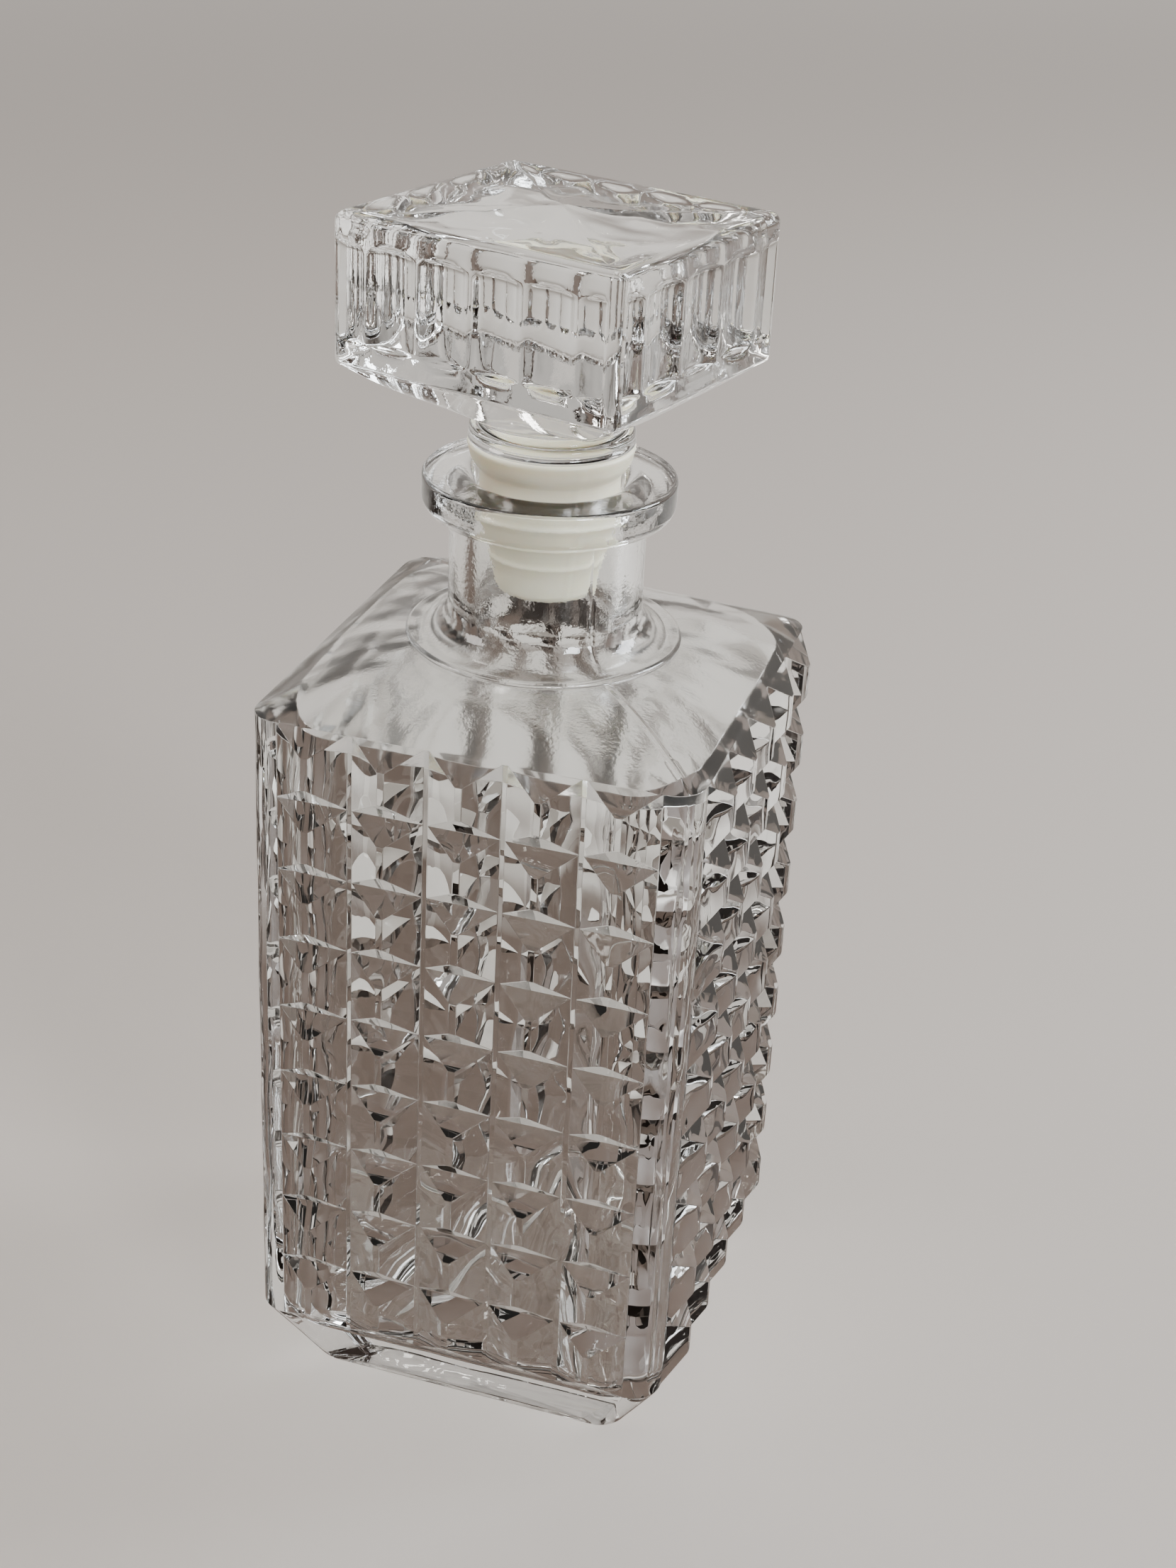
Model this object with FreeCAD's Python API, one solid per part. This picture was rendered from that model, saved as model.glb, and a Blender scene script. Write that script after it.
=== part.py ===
import FreeCAD, Part
import math
import os
from FreeCAD import Vector

# Square faceted glass decanter with a glass stopper in a soft sealing collar.
# Millimetres. +Z is up, the front face looks along -Y, and the origin is the centre of the foot.

# Body: every face carries columns x rows of hip-roof studs between V grooves.
columns = 5
rows = 9
column_pitch = 14.4
row_pitch = 14.7
groove_depth = 3.6
ridge_flat = 1.3        # width of the flat on top of each stud's ridge
hip_run = 4.1           # height taken by each sloping end of a stud
corner_round = 5.7      # radius of the smooth vertical corners, measured at the groove floors

# Foot and shoulder.
heel_height = 17.85     # the inward bevel below the studs
foot_inset = 9.2        # how far the foot stands in from the groove floors
foot_corner = 5.0
shoulder_mid_rise = 4.1
shoulder_mid_inset = 7.7
shoulder_mid_corner = 15.0
ring_overhang = 7.7     # how far the ring stands out from the neck
ring_rise = 8.0         # top of the ring above the studs
ring_height = 2.4
ring_edge = 0.9

# Neck and lip.
neck_wall = 4.8
neck_height = 30.4      # from the top of the ring to the lip's top
flare_radius = 6.2
lip_overhang = 5.2      # how far the lip stands out from the neck
lip_height = 5.8
lip_edge = 0.8
lip_under = 4.0         # rounding below the lip's rim
bore_radius = 13.2
mouth_round = 3.4

# Inside of the bottle.
wall = 5.6              # from the groove floors to the cavity
cavity_corner = 9.0
base_thickness = 14.0
cavity_bottom_inset = 5.0
cavity_bottom_rise = 6.0
shoulder_wall = 5.2
throat_flare = 7.5

# Stopper: fluted head, flange and stem in one piece of glass.
head_length = 58.0
head_width = 54.0
head_turn = -15.4       # degrees about Z, as the stopper happens to stand
head_gap = 20.3         # bottom of the head's walls above the lip
head_height = 26.7
head_corner = 2.4       # width of each vertical corner post, along the sides
head_crown = 1.2        # rise of the shallow four-sided crown
flutes_long = 5
flutes_short = 4
flute_depth = 1.7
flute_land = 0.8        # width of the crest left between two flutes
flute_bottom_rim = 4.3
flute_top_rim = 4.6
under_length = 36.0
under_width = 34.0
under_drop = 8.4
flange_inset = 0.15     # how far the flange's rim stands in from the collar's brim
flange_overhang = 1.9   # how far the flange stands out from the glass above it
flange_height = 2.9
flange_step = 0.8
stem_end_radius = 7.0
stem_length = 26.0

# Collar: soft sleeve on the stem, sealing in the bore.
collar_brim_gap = 6.0   # collar's top face above the lip
collar_brim_overhang = 2.05
collar_fit = 0.08       # radial clearance of the top rib in the bore
stem_fit = 0.08         # radial clearance of the stem in the collar
flange_fit = 0.08       # axial gap between the flange and the collar's top
collar_body_inset = 0.35
collar_wall = 1.8
rib_height = 1.2
rib_pitch = 4.6
rib_stand = 0.45
ribs = 3
collar_end_wall = 1.9
collar_floor = 1.6

# Radii, levels and half widths that follow from the sizes above.
neck_radius = bore_radius + neck_wall
lip_radius = neck_radius + lip_overhang
ring_radius = neck_radius + ring_overhang
collar_brim_radius = bore_radius + collar_brim_overhang
stem_top_radius = bore_radius - collar_fit - collar_body_inset - collar_wall - stem_fit
flange_radius = collar_brim_radius - flange_inset
stub_radius = flange_radius - flange_overhang
face_half = columns * column_pitch / 2
floor_half = face_half + corner_round
body_half = floor_half + groove_depth
body_top = heel_height + rows * row_pitch
ring_top = body_top + ring_rise
lip_top = ring_top + neck_height
lip_bottom = lip_top - lip_height
collar_top = lip_top + collar_brim_gap
flange_bottom = collar_top + flange_fit
flange_top = flange_bottom + flange_height
head_bottom = lip_top + head_gap
head_top = head_bottom + head_height


def rounded_square(half, corner, z):
    s = half - corner
    d = corner * math.sqrt(0.5)
    edges = []
    for k in range(4):
        a = math.radians(90 * k)
        turn = lambda x, y: Vector(x * math.cos(a) - y * math.sin(a), x * math.sin(a) + y * math.cos(a), z)
        edges.append(Part.LineSegment(turn(-s, -half), turn(s, -half)).toShape())
        edges.append(Part.Arc(turn(s, -half), turn(s + d, -s - d), turn(half, -s)).toShape())
    return Part.Wire(edges)


def stack(sections):
    solids = []
    for low, high in zip(sections, sections[1:]):
        wires = [rounded_square(*low), rounded_square(*high)]
        solids.append(Part.makeLoft(wires, True, True))
    return solids


def revolved(points):
    edges = []
    for item, following in zip(points, points[1:] + points[:1]):
        start = Vector(item[0], 0, item[1])
        end = Vector(following[0], 0, following[1])
        if len(item) == 4:
            edges.append(Part.Arc(start, Vector(item[2], 0, item[3]), end).toShape())
        else:
            edges.append(Part.LineSegment(start, end).toShape())
    return Part.Face(Part.Wire(edges)).revolve(Vector(0, 0, 0), Vector(0, 0, 1), 360)


def arc_mid(centre_r, centre_z, radius, degrees):
    a = math.radians(degrees)
    return centre_r + radius * math.cos(a), centre_z + radius * math.sin(a)


def joined(solids):
    return solids[0].multiFuse(solids[1:]).removeSplitter()


# Studded walls: an extruded plan with the vertical grooves in it, then the level grooves cut in.
def studded_walls():
    edges = []
    d = corner_round * math.sqrt(0.5)
    for k in range(4):
        a = math.radians(90 * k)
        turn = lambda x, y: Vector(x * math.cos(a) - y * math.sin(a), x * math.sin(a) + y * math.cos(a),
                                   heel_height)
        outline = [(-face_half, -floor_half)]
        for c in range(columns):
            mid = -face_half + (c + 0.5) * column_pitch
            outline.append((mid - ridge_flat / 2, -body_half))
            outline.append((mid + ridge_flat / 2, -body_half))
            outline.append((mid + column_pitch / 2, -floor_half))
        for p, q in zip(outline, outline[1:]):
            edges.append(Part.LineSegment(turn(*p), turn(*q)).toShape())
        edges.append(Part.Arc(turn(face_half, -floor_half), turn(face_half + d, -face_half - d),
                              turn(floor_half, -face_half)).toShape())
    walls = Part.Face(Part.Wire(edges)).extrude(Vector(0, 0, rows * row_pitch))
    cutters = []
    reach = groove_depth * 1.5
    rise = hip_run * 1.5
    for r in range(rows + 1):
        z = heel_height + r * row_pitch
        for k in range(4):
            tip = Vector(-body_half, -floor_half, z)
            low = Vector(-body_half, -floor_half - reach, z - rise)
            high = Vector(-body_half, -floor_half - reach, z + rise)
            cutter = Part.Face(Part.makePolygon([tip, low, high, tip])).extrude(Vector(2 * body_half, 0, 0))
            cutters.append(cutter.rotate(Vector(0, 0, 0), Vector(0, 0, 1), 90 * k))
    return walls.cut(cutters)


def bottle():
    heel = stack([(floor_half - foot_inset, foot_corner, 0), (floor_half, corner_round, heel_height)])
    shoulder_mid = (floor_half - shoulder_mid_inset, shoulder_mid_corner, body_top + shoulder_mid_rise)
    shoulder_top = (ring_radius - 0.4, ring_radius - 0.9, ring_top - ring_height / 2)
    shoulder = stack([(floor_half, corner_round, body_top), shoulder_mid, shoulder_top])
    flare_end = ring_top + flare_radius
    flare_foot = neck_radius + flare_radius
    ring_round = arc_mid(ring_radius - ring_edge, ring_top - ring_edge, ring_edge, 45)
    flare = arc_mid(flare_foot, flare_end, flare_radius, 225)
    under_z = lip_bottom + lip_under - lip_height / 3
    under = arc_mid(lip_radius - lip_under, under_z, lip_under, -45)
    rim = arc_mid(lip_radius - lip_edge, lip_top - lip_edge, lip_edge, 45)
    neck = revolved([
        (0, ring_top - ring_height),
        (ring_radius, ring_top - ring_height),
        (ring_radius, ring_top - ring_edge, *ring_round),
        (ring_radius - ring_edge, ring_top),
        (flare_foot, ring_top, *flare),
        (neck_radius, flare_end),
        (neck_radius, under_z - lip_under),
        (lip_radius - lip_under, under_z - lip_under, *under),
        (lip_radius, under_z),
        (lip_radius, lip_top - lip_edge, *rim),
        (lip_radius - lip_edge, lip_top),
        (0, lip_top),
    ])
    outside = joined(heel + [studded_walls()] + shoulder + [neck])

    cavity_half = floor_half - wall
    inner_mid = (shoulder_mid[0] - wall, shoulder_mid_corner - 2, shoulder_mid[2] - shoulder_wall)
    throat_half = bore_radius + throat_flare
    inner_top = (throat_half, throat_half - 0.5, body_top + ring_rise - shoulder_wall - ring_height / 2)
    cavity = stack([
        (cavity_half - cavity_bottom_inset, cavity_corner, base_thickness),
        (cavity_half, cavity_corner, base_thickness + cavity_bottom_rise),
        (cavity_half, cavity_corner, body_top - shoulder_wall),
        inner_mid,
        inner_top,
    ])
    throat_foot = inner_top[2] - 1
    throat = arc_mid(throat_half, throat_foot + throat_flare, throat_flare, 225)
    mouth = arc_mid(bore_radius + mouth_round, lip_top - mouth_round, mouth_round, 135)
    bore = revolved([
        (0, throat_foot),
        (throat_half, throat_foot, *throat),
        (bore_radius, throat_foot + throat_flare),
        (bore_radius, lip_top - mouth_round, *mouth),
        (bore_radius + mouth_round, lip_top),
        (bore_radius + mouth_round, lip_top + 1),
        (0, lip_top + 1),
    ])
    return outside.cut(joined(cavity + [bore]))


def chamfered_plate(length, width, corner, z):
    x = length / 2
    y = width / 2
    c = corner
    points = [(-x + c, -y), (x - c, -y), (x, -y + c), (x, y - c), (x - c, y), (-x + c, y), (-x, y - c),
              (-x, -y + c)]
    return Part.makePolygon([Vector(px, py, z) for px, py in points + points[:1]])


def flute_cutters(side, across, count):
    run = side - 2 * head_corner
    pitch = run / count
    width = pitch - flute_land
    radius = (width * width / 4 + flute_depth * flute_depth) / (2 * flute_depth)
    height = head_height - flute_bottom_rim - flute_top_rim
    axis_y = -across / 2 - radius + flute_depth
    cutters = []
    for i in range(count + 1):
        x = -run / 2 + i * pitch
        tool = Part.makeCylinder(radius, height, Vector(x, axis_y, head_bottom + flute_bottom_rim))
        window = Part.makeBox(run, across, height,
                              Vector(-run / 2, -across / 2 - radius, head_bottom + flute_bottom_rim))
        cutters.append(tool.common(window))
    return cutters


def stopper():
    base = chamfered_plate(head_length, head_width, head_corner, head_bottom)
    block = Part.Face(base).extrude(Vector(0, 0, head_height))
    plate = chamfered_plate(head_length, head_width, head_corner, head_top)
    tip = chamfered_plate(head_length / 20, head_width / 20, head_corner / 20, head_top + head_crown)
    crown = Part.makeLoft([plate, tip], True, True)
    cutters = []
    for k in range(2):
        long_side = flute_cutters(head_length, head_width, flutes_long)
        short_side = flute_cutters(head_width, head_length, flutes_short)
        for tool in long_side:
            cutters.append(tool.rotate(Vector(0, 0, 0), Vector(0, 0, 1), 180 * k))
        for tool in short_side:
            cutters.append(tool.rotate(Vector(0, 0, 0), Vector(0, 0, 1), 90 + 180 * k))
    under_z = head_bottom - under_drop
    under = Part.makeLoft([chamfered_plate(under_length, under_width, head_corner, under_z), base], True, True)
    head = joined([block.cut(cutters), crown, under])
    stem = revolved([
        (0, flange_bottom - stem_length),
        (stem_end_radius, flange_bottom - stem_length),
        (stem_top_radius, flange_bottom),
        (flange_radius - flange_step, flange_bottom),
        (flange_radius, flange_bottom + flange_step),
        (flange_radius, flange_top - flange_step),
        (flange_radius - flange_step, flange_top),
        (stub_radius, flange_top),
        (stub_radius, under_z + 1),
        (0, under_z + 1),
    ])
    return joined([head, stem]).rotate(Vector(0, 0, 0), Vector(0, 0, 1), head_turn)


# The sleeve narrows downwards. The top rib is the sealing fit in the bore; the others stand clear.
def collar():
    seal = bore_radius - collar_fit
    body = seal - collar_body_inset
    slope = (stem_top_radius - stem_end_radius) / stem_length
    end_z = flange_bottom - stem_length
    inner_end = stem_end_radius + stem_fit
    inner_top = stem_end_radius + slope * (collar_top - end_z) + stem_fit
    outer_end = inner_end + collar_end_wall
    rib_z = lip_top - mouth_round - rib_height * 2
    low_z = end_z - collar_floor - stem_fit
    taper = (body - outer_end) / (rib_z - low_z)
    brim_under = lip_top + collar_brim_gap / 5
    points = [
        (0, end_z - stem_fit),
        (inner_end, end_z - stem_fit),
        (inner_top, collar_top),
        (collar_brim_radius, collar_top),
        (collar_brim_radius - 0.6, collar_top - collar_brim_gap / 2),
        (body + 0.5, brim_under),
        (body, brim_under - 0.6),
    ]
    z = rib_z
    for i in range(ribs):
        here = body - taper * (rib_z - z)
        points.append((here, z + rib_height))
        points.append((here + rib_stand if i else seal, z + rib_height * 0.7))
        points.append((here + rib_stand if i else seal, z + rib_height * 0.3))
        points.append((here - taper * rib_height, z))
        z -= rib_pitch
    points.append((outer_end, low_z + 0.8))
    points.append((outer_end - 0.8, low_z))
    points.append((0, low_z))
    return revolved(points)


os.makedirs("parts", exist_ok=True)
pieces = {"bottle": bottle(), "stopper": stopper(), "stopper_collar": collar()}
for name, shape in pieces.items():
    if shape.ShapeType == "Compound":
        shape = shape.Solids[0]
    shape.exportStep("parts/" + name + ".step")
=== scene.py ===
import math
import bmesh
import bpy
import numpy as np
from mathutils import Matrix, Vector, noise


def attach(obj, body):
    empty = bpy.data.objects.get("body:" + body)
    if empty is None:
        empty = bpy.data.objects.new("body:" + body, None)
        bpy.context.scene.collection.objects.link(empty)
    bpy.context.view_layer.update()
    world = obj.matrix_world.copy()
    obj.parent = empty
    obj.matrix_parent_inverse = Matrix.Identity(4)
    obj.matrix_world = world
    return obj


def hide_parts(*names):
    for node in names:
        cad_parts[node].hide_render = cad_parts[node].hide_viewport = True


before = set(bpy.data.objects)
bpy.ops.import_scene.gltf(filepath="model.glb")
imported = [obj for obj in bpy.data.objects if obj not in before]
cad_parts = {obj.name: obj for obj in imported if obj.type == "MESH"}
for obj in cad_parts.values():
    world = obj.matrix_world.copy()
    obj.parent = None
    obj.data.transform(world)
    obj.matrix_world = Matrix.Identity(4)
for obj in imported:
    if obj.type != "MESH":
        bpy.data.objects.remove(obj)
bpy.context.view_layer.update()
scene = bpy.context.scene
mm = 0.001

# --- Camera ---------------------------------------------------------------------------------------
# Held by hand in front of the decanter, a little to its right and above the stopper, and tipped a
# few degrees.
camera_place = Vector((120.6, -385.4, 335.0)) * mm
camera_turn = math.radians(15.989)
camera_height = math.radians(27.413)
camera_roll = math.radians(3.092)

camera_data = bpy.data.cameras.new("camera")
camera_data.sensor_width = 36
camera_data.lens = 54.35
camera_data.clip_start = 0.01
camera = bpy.data.objects.new("camera", camera_data)
scene.collection.objects.link(camera)
back = Vector((math.sin(camera_turn) * math.cos(camera_height),
               -math.cos(camera_turn) * math.cos(camera_height), math.sin(camera_height)))
level = Vector((math.cos(camera_turn), math.sin(camera_turn), 0))
upward = back.cross(level)
axis_x = math.cos(camera_roll) * level + math.sin(camera_roll) * upward
axis_y = -math.sin(camera_roll) * level + math.cos(camera_roll) * upward
camera_axes = Matrix((axis_x, axis_y, back)).transposed().to_4x4()
camera.matrix_world = Matrix.Translation(camera_place) @ camera_axes
scene.camera = camera

# --- Floor and light ------------------------------------------------------------------------------
# A plain pale floor that runs into a plain backdrop, under two cool windows at the right and a warm
# fill from the left. The room is dim in front and pale behind. Only the camera sees the pale floor:
# every other ray meets a painted reflection, a dark table top painted near the object and a pale wall
# painted beyond it, so the dark tones seen in the glass are painted shade and painted reflection.
floor_size = 40.0
floor_drop = 0.0001
floor_roughness = 0.62
floor_colour = (0.44, 0.395, 0.36, 1)
# Painted reflection and painted shade: the floor's colours for every ray but the camera's.
painted_table_reflection = (0.085, 0.056, 0.042, 1)
painted_wall_reflection = (0.66, 0.62, 0.575, 1)
painted_table_back = 0.15
painted_table_fade = 0.09
room_dim = (0.056, 0.045, 0.038, 1)
room_wall = (0.90, 0.84, 0.78, 1)
room_ceiling = (0.64, 0.61, 0.575, 1)
backdrop_colour = (0.62, 0.575, 0.535, 1)
backdrop_start = 0.7
backdrop_full = 2.6
wall_start = -0.05
wall_full = 0.6
ceiling_start = 0.35
ceiling_full = 0.9
light_aim = Vector((0, 0, 0.12))

floor_mesh = bpy.data.meshes.new("floor")
reach = floor_size / 2
floor_corners = [(-reach, -reach, 0), (reach, -reach, 0), (reach, reach, 0), (-reach, reach, 0)]
floor_mesh.from_pydata(floor_corners, [], [(0, 1, 2, 3)])
floor = bpy.data.objects.new("floor", floor_mesh)
floor.location.z = -floor_drop
scene.collection.objects.link(floor)
floor_paint = bpy.data.materials.new("floor_paint")
floor_paint.use_nodes = True
nodes = floor_paint.node_tree.nodes
links = floor_paint.node_tree.links
nodes["Principled BSDF"].inputs["Roughness"].default_value = floor_roughness
path = nodes.new("ShaderNodeLightPath")
paint = nodes.new("ShaderNodeMix")
paint.data_type = "RGBA"
paint.inputs["B"].default_value = floor_colour
links.new(path.outputs["Is Camera Ray"], paint.inputs["Factor"])
coordinate = nodes.new("ShaderNodeTexCoord")
split = nodes.new("ShaderNodeSeparateXYZ")
links.new(coordinate.outputs["Object"], split.inputs[0])
# Painted shade and reflection: rays other than the camera's see dark paint near the object, pale
# beyond.
beyond = nodes.new("ShaderNodeMapRange")
beyond.inputs["From Min"].default_value = painted_table_back
beyond.inputs["From Max"].default_value = painted_table_back + painted_table_fade
links.new(split.outputs["Y"], beyond.inputs["Value"])
painted_reflection_colour = nodes.new("ShaderNodeMix")
painted_reflection_colour.data_type = "RGBA"
painted_reflection_colour.inputs["A"].default_value = painted_table_reflection
painted_reflection_colour.inputs["B"].default_value = painted_wall_reflection
links.new(beyond.outputs["Result"], painted_reflection_colour.inputs["Factor"])
links.new(painted_reflection_colour.outputs["Result"], paint.inputs["A"])
level_place = nodes.new("ShaderNodeVectorMath")
level_place.operation = "MULTIPLY"
level_place.inputs[1].default_value = (1, 1, 0)
links.new(coordinate.outputs["Object"], level_place.inputs[0])
away = nodes.new("ShaderNodeVectorMath")
away.operation = "LENGTH"
links.new(level_place.outputs["Vector"], away.inputs[0])
fading = nodes.new("ShaderNodeMapRange")
fading.interpolation_type = "SMOOTHSTEP"
fading.inputs["From Min"].default_value = backdrop_start
fading.inputs["From Max"].default_value = backdrop_full
links.new(away.outputs["Value"], fading.inputs["Value"])
seen_fading = nodes.new("ShaderNodeMath")
seen_fading.operation = "MULTIPLY"
links.new(fading.outputs["Result"], seen_fading.inputs[0])
links.new(path.outputs["Is Camera Ray"], seen_fading.inputs[1])
backdrop = nodes.new("ShaderNodeEmission")
backdrop.inputs["Color"].default_value = backdrop_colour
floor_end = nodes.new("ShaderNodeMixShader")
links.new(seen_fading.outputs[0], floor_end.inputs["Fac"])
links.new(nodes["Principled BSDF"].outputs["BSDF"], floor_end.inputs[1])
links.new(backdrop.outputs["Emission"], floor_end.inputs[2])
links.new(floor_end.outputs["Shader"], nodes["Material Output"].inputs["Surface"])
links.new(paint.outputs["Result"], nodes["Principled BSDF"].inputs["Base Color"])
floor_mesh.materials.append(floor_paint)

room = bpy.data.worlds.new("room")
room.use_nodes = True
scene.world = room
nodes = room.node_tree.nodes
links = room.node_tree.links
coordinate = nodes.new("ShaderNodeTexCoord")
split = nodes.new("ShaderNodeSeparateXYZ")
links.new(coordinate.outputs["Generated"], split.inputs[0])
behind = nodes.new("ShaderNodeMapRange")
behind.interpolation_type = "SMOOTHSTEP"
behind.inputs["From Min"].default_value = wall_start
behind.inputs["From Max"].default_value = wall_full
links.new(split.outputs["Y"], behind.inputs["Value"])
sides = nodes.new("ShaderNodeMix")
sides.data_type = "RGBA"
sides.inputs["A"].default_value = room_dim
sides.inputs["B"].default_value = room_wall
links.new(behind.outputs["Result"], sides.inputs["Factor"])
rise = nodes.new("ShaderNodeMapRange")
rise.interpolation_type = "SMOOTHSTEP"
rise.inputs["From Min"].default_value = ceiling_start
rise.inputs["From Max"].default_value = ceiling_full
links.new(split.outputs["Z"], rise.inputs["Value"])
shade = nodes.new("ShaderNodeMix")
shade.data_type = "RGBA"
links.new(sides.outputs["Result"], shade.inputs["A"])
shade.inputs["B"].default_value = room_ceiling
links.new(rise.outputs["Result"], shade.inputs["Factor"])
path = nodes.new("ShaderNodeLightPath")
seen = nodes.new("ShaderNodeMix")
seen.data_type = "RGBA"
seen.inputs["B"].default_value = backdrop_colour
links.new(path.outputs["Is Camera Ray"], seen.inputs["Factor"])
links.new(shade.outputs["Result"], seen.inputs["A"])
links.new(seen.outputs["Result"], nodes["Background"].inputs["Color"])
nodes["Background"].inputs["Strength"].default_value = 1.0


def window(name, place, width, height, power, colour):
    data = bpy.data.lights.new(name, "AREA")
    data.shape = "RECTANGLE"
    data.size = width
    data.size_y = height
    data.energy = power
    data.color = colour
    light = bpy.data.objects.new(name, data)
    light.location = place
    light.rotation_euler = (light_aim - Vector(place)).to_track_quat("-Z", "Y").to_euler()
    scene.collection.objects.link(light)


window("window_back_right", (1.15, 0.75, 0.95), 0.5, 0.7, 32, (0.90, 0.95, 1.0))
window("window_front_right", (0.95, -0.75, 0.85), 0.3, 0.45, 18, (0.92, 0.96, 1.0))
window("fill_left", (-1.2, -0.5, 0.8), 0.5, 0.5, 9, (1.0, 0.96, 0.92))

# --- Glass ----------------------------------------------------------------------------------------
# Both glass pieces are pressed soda-lime glass: clear, with a breath of green in the thick parts,
# an orange-peel skin and a satin bloom from the mould above a given height, and a slow ripple.
glass_ior = 1.52
ripple_height = 0.0008
peel_height_most = 0.0002
smear_scale = 45.0
satin_fade = 0.005
glass_skin = bpy.data.node_groups.new("pressed glass skin", "ShaderNodeTree")
for socket_name, start in (("Ripple Size", 60.0), ("Ripple Depth", 0.3), ("Peel Size", 900.0),
                           ("Peel Depth", 0.1), ("Peel Floor", 0.0), ("Peel Top", 0.0), ("Haze", 0.02),
                           ("Satin", 0.0), ("Satin Floor", 0.0), ("Satin Top", 0.0)):
    glass_skin.interface.new_socket(socket_name, in_out="INPUT",
                                    socket_type="NodeSocketFloat").default_value = start
glass_skin.interface.new_socket("Roughness", in_out="OUTPUT", socket_type="NodeSocketFloat")
glass_skin.interface.new_socket("Normal", in_out="OUTPUT", socket_type="NodeSocketVector")
nodes = glass_skin.nodes
links = glass_skin.links
given = nodes.new("NodeGroupInput")
result = nodes.new("NodeGroupOutput")
place = nodes.new("ShaderNodeTexCoord")
ripple = nodes.new("ShaderNodeTexNoise")
ripple.inputs["Detail"].default_value = 1.0
peel = nodes.new("ShaderNodeTexNoise")
peel.inputs["Detail"].default_value = 2.0
smear = nodes.new("ShaderNodeTexNoise")
smear.inputs["Scale"].default_value = smear_scale
smear.inputs["Detail"].default_value = 4.0
for texture, size in ((ripple, "Ripple Size"), (peel, "Peel Size")):
    links.new(given.outputs[size], texture.inputs["Scale"])
for texture in (ripple, peel, smear):
    links.new(place.outputs["Object"], texture.inputs["Vector"])
level_split = nodes.new("ShaderNodeSeparateXYZ")
links.new(place.outputs["Object"], level_split.inputs[0])
above = nodes.new("ShaderNodeMapRange")
above.interpolation_type = "SMOOTHSTEP"
links.new(level_split.outputs["Z"], above.inputs["Value"])
links.new(given.outputs["Peel Floor"], above.inputs["From Min"])
links.new(given.outputs["Peel Top"], above.inputs["From Max"])
peel_height = nodes.new("ShaderNodeMath")
peel_height.operation = "MULTIPLY"
links.new(peel.outputs["Fac"], peel_height.inputs[0])
links.new(above.outputs["Result"], peel_height.inputs[1])
ripple_bump = nodes.new("ShaderNodeBump")
ripple_bump.inputs["Distance"].default_value = ripple_height
links.new(given.outputs["Ripple Depth"], ripple_bump.inputs["Strength"])
links.new(ripple.outputs["Fac"], ripple_bump.inputs["Height"])
peel_bump = nodes.new("ShaderNodeBump")
peel_bump.inputs["Distance"].default_value = peel_height_most
links.new(given.outputs["Peel Depth"], peel_bump.inputs["Strength"])
links.new(peel_height.outputs[0], peel_bump.inputs["Height"])
links.new(ripple_bump.outputs["Normal"], peel_bump.inputs["Normal"])
links.new(peel_bump.outputs["Normal"], result.inputs["Normal"])
haze = nodes.new("ShaderNodeMapRange")
haze.inputs["From Min"].default_value = 0.45
haze.inputs["From Max"].default_value = 0.8
links.new(smear.outputs["Fac"], haze.inputs["Value"])
links.new(given.outputs["Haze"], haze.inputs["To Max"])
satin_low = nodes.new("ShaderNodeMapRange")
satin_low.interpolation_type = "SMOOTHSTEP"
satin_high = nodes.new("ShaderNodeMapRange")
satin_high.interpolation_type = "SMOOTHSTEP"
satin_high.inputs["To Min"].default_value = 1.0
satin_high.inputs["To Max"].default_value = 0.0
for band, start in ((satin_low, "Satin Floor"), (satin_high, "Satin Top")):
    end = nodes.new("ShaderNodeMath")
    end.inputs[1].default_value = satin_fade
    links.new(given.outputs[start], end.inputs[0])
    links.new(level_split.outputs["Z"], band.inputs["Value"])
    links.new(given.outputs[start], band.inputs["From Min"])
    links.new(end.outputs[0], band.inputs["From Max"])
satin = nodes.new("ShaderNodeMath")
satin.operation = "MULTIPLY"
links.new(satin_low.outputs["Result"], satin.inputs[0])
links.new(satin_high.outputs["Result"], satin.inputs[1])
dull = nodes.new("ShaderNodeMath")
dull.operation = "MULTIPLY_ADD"
links.new(satin.outputs[0], dull.inputs[0])
links.new(given.outputs["Satin"], dull.inputs[1])
links.new(haze.outputs["Result"], dull.inputs[2])
links.new(dull.outputs[0], result.inputs["Roughness"])


def pressed_glass(name, body_tint, shadow_tint, settings):
    material = bpy.data.materials.new(name)
    material.use_nodes = True
    nodes = material.node_tree.nodes
    links = material.node_tree.links
    shader = nodes["Principled BSDF"]
    shader.inputs["Base Color"].default_value = body_tint
    shader.inputs["Transmission Weight"].default_value = 1.0
    shader.inputs["IOR"].default_value = glass_ior
    skin = nodes.new("ShaderNodeGroup")
    skin.node_tree = glass_skin
    for key, value in settings.items():
        skin.inputs[key].default_value = value
    links.new(skin.outputs["Roughness"], shader.inputs["Roughness"])
    links.new(skin.outputs["Normal"], shader.inputs["Normal"])
    light_path = nodes.new("ShaderNodeLightPath")
    clear = nodes.new("ShaderNodeBsdfTransparent")
    clear.inputs["Color"].default_value = shadow_tint
    mixed = nodes.new("ShaderNodeMixShader")
    links.new(light_path.outputs["Is Shadow Ray"], mixed.inputs["Fac"])
    links.new(shader.outputs["BSDF"], mixed.inputs[1])
    links.new(clear.outputs["BSDF"], mixed.inputs[2])
    links.new(mixed.outputs["Shader"], nodes["Material Output"].inputs["Surface"])
    return material


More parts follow.
